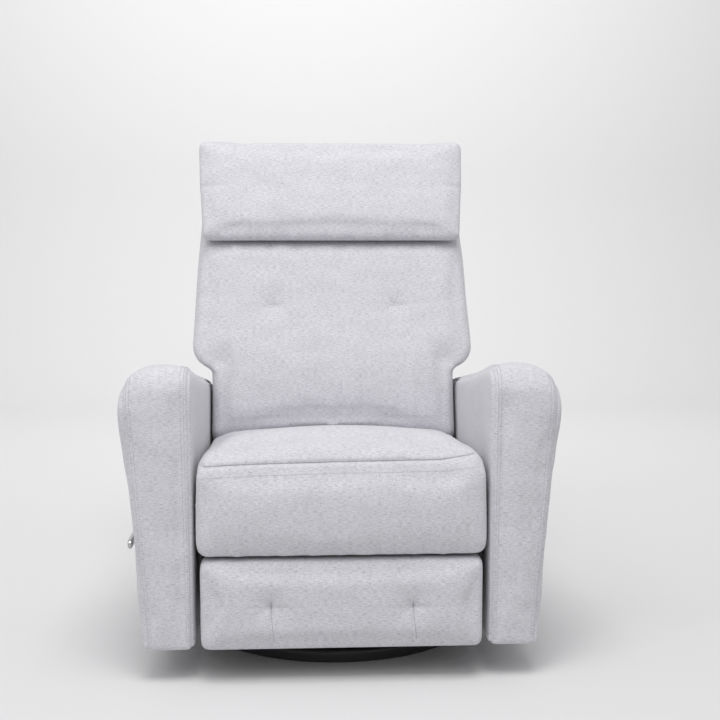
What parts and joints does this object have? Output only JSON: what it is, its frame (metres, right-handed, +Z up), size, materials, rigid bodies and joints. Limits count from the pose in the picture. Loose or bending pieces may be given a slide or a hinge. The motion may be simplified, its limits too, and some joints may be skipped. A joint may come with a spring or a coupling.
{
  "type": "glider nursery chair",
  "caption": "Swivel glider recliner for a nursery: padded arms, tufted back with a thick headrest pad, swing-out footrest, side release lever and a round black floor ring.",
  "frame": {"origin": "on the floor at the swivel axis, the centre of the floor ring", "axes": "X across the chair, to the right of someone looking at its front; the front faces -Y; Z up"},
  "size_m": [0.8114, 0.8847, 1.0452],
  "materials": {
    "heather_fabric": "woven, pale cool grey heather",
    "black_steel": "satin powder coat",
    "black_plastic": "fine moulded texture",
    "nylon": "natural nylon",
    "satin_metal": "satin",
    "zinc_steel": "zinc plated",
    "frame_wood": "bare, sawn",
    "grey_felt": "needled felt",
    "webbing": "elastic webbing"
  },
  "bodies": {
    "base": {"floor_pad_ring": "black_plastic", "base_ring": "black_steel", "base_spokes": "black_steel", "base_hub": "black_steel", "lower_race": "zinc_steel", "bearing_balls": "zinc_steel", "ball_cage": "nylon", "kingpin": "zinc_steel"},
    "carriage": {"upper_race": "zinc_steel", "carriage_plate": "black_steel", "race_bolts": "zinc_steel", "glide_stand_right": "black_steel", "glide_stand_left": "black_steel"},
    "front_links": {"glide_links_front": "zinc_steel", "glide_pins_front": "zinc_steel"},
    "rear_links": {"glide_links_rear": "zinc_steel", "glide_pins_rear": "zinc_steel"},
    "seat_frame": {"glide_hangers": "black_steel", "cross_tubes": "black_steel", "side_plate_right": "black_steel", "side_plate_left": "black_steel", "plate_bolts": "zinc_steel", "seat_rail_front": "frame_wood", "seat_rail_rear": "frame_wood", "seat_springs": "zinc_steel", "seat_deck": "grey_felt", "seat_cushion": "heather_fabric", "seat_front_pad": "heather_fabric", "arm_inner_panel_left": "heather_fabric", "arm_inner_panel_right": "heather_fabric", "arm_outer_panel_left": "heather_fabric", "arm_outer_panel_right": "heather_fabric", "arm_front_panel_left": "heather_fabric", "arm_front_panel_right": "heather_fabric", "arm_rear_panel_left": "heather_fabric", "arm_rear_panel_right": "heather_fabric", "arm_top_pad_left": "heather_fabric", "arm_top_pad_right": "heather_fabric", "arm_frame_left": "frame_wood", "arm_frame_right": "frame_wood", "rear_apron": "heather_fabric", "lever_escutcheon": "black_plastic"},
    "drive": {"drive_links": "zinc_steel", "drive_tube": "black_steel"},
    "lower_links": {"ottoman_links_lower": "zinc_steel"},
    "upper_links": {"ottoman_links_upper": "zinc_steel"},
    "footrest": {"ottoman_brackets": "zinc_steel", "footrest_board": "frame_wood", "footrest_cushion": "heather_fabric"},
    "back": {"back_posts": "frame_wood", "back_rails": "frame_wood", "back_webbing": "webbing", "back_hinge_plates": "zinc_steel", "back_upper_cushion": "heather_fabric", "back_lower_cushion": "heather_fabric", "headrest_cushion": "heather_fabric", "back_outer_panel": "heather_fabric"},
    "lever": {"release_lever": "satin_metal", "lever_shaft": "zinc_steel", "lever_pawl": "zinc_steel"}
  },
  "joints": [
    {"name": "swivel", "type": "hinge", "parent": "base", "child": "carriage", "pos_m": [0, 0, 0.038], "axis": [0, 0, 1], "continuous": true},
    {"name": "glide_front_swing", "type": "hinge", "parent": "carriage", "child": "front_links", "pos_m": [0, -0.13, 0.29], "axis": [1, 0, 0], "range_deg": [-20, 20]},
    {"name": "glide_seat_level", "type": "hinge", "parent": "front_links", "child": "seat_frame", "pos_m": [0, -0.13, 0.17], "axis": [1, 0, 0], "range_deg": [-20, 20]},
    {"name": "glide_rear_swing", "type": "hinge", "parent": "carriage", "child": "rear_links", "pos_m": [0, 0.13, 0.29], "axis": [1, 0, 0], "range_deg": [-20, 20]},
    {"name": "footrest_drive", "type": "hinge", "parent": "seat_frame", "child": "drive", "pos_m": [0, -0.234, 0.326], "axis": [-1, 0, 0], "range_deg": [0, 90]},
    {"name": "lower_link_turn", "type": "hinge", "parent": "drive", "child": "lower_links", "pos_m": [0, -0.12157, 0.21357], "axis": [-1, 0, 0], "range_deg": [-60, 0]},
    {"name": "upper_link_turn", "type": "hinge", "parent": "drive", "child": "upper_links", "pos_m": [0, -0.09329, 0.18529], "axis": [-1, 0, 0], "range_deg": [-60, 0]},
    {"name": "footrest_turn", "type": "hinge", "parent": "lower_links", "child": "footrest", "pos_m": [0, -0.32248, 0.15974], "axis": [-1, 0, 0], "range_deg": [0, 60]},
    {"name": "back_recline", "type": "hinge", "parent": "seat_frame", "child": "back", "pos_m": [0, 0.205, 0.35], "axis": [-1, 0, 0], "range_deg": [0, 35]},
    {"name": "lever_pull", "type": "hinge", "parent": "seat_frame", "child": "lever", "pos_m": [-0.393, -0.196, 0.257], "axis": [-1, 0, 0], "range_deg": [0, 25], "stiffness_Nm_per_rad": 0.6, "springref_deg": -14.9}
  ],
  "couplings": [
    {"joint": "glide_seat_level", "follows": "glide_front_swing", "ratio": -1},
    {"joint": "glide_rear_swing", "follows": "glide_front_swing", "ratio": 1},
    {"joint": "lower_link_turn", "follows": "footrest_drive", "ratio": -0.66667},
    {"joint": "upper_link_turn", "follows": "footrest_drive", "ratio": -0.66667},
    {"joint": "footrest_turn", "follows": "footrest_drive", "ratio": 0.66667}
  ]
}
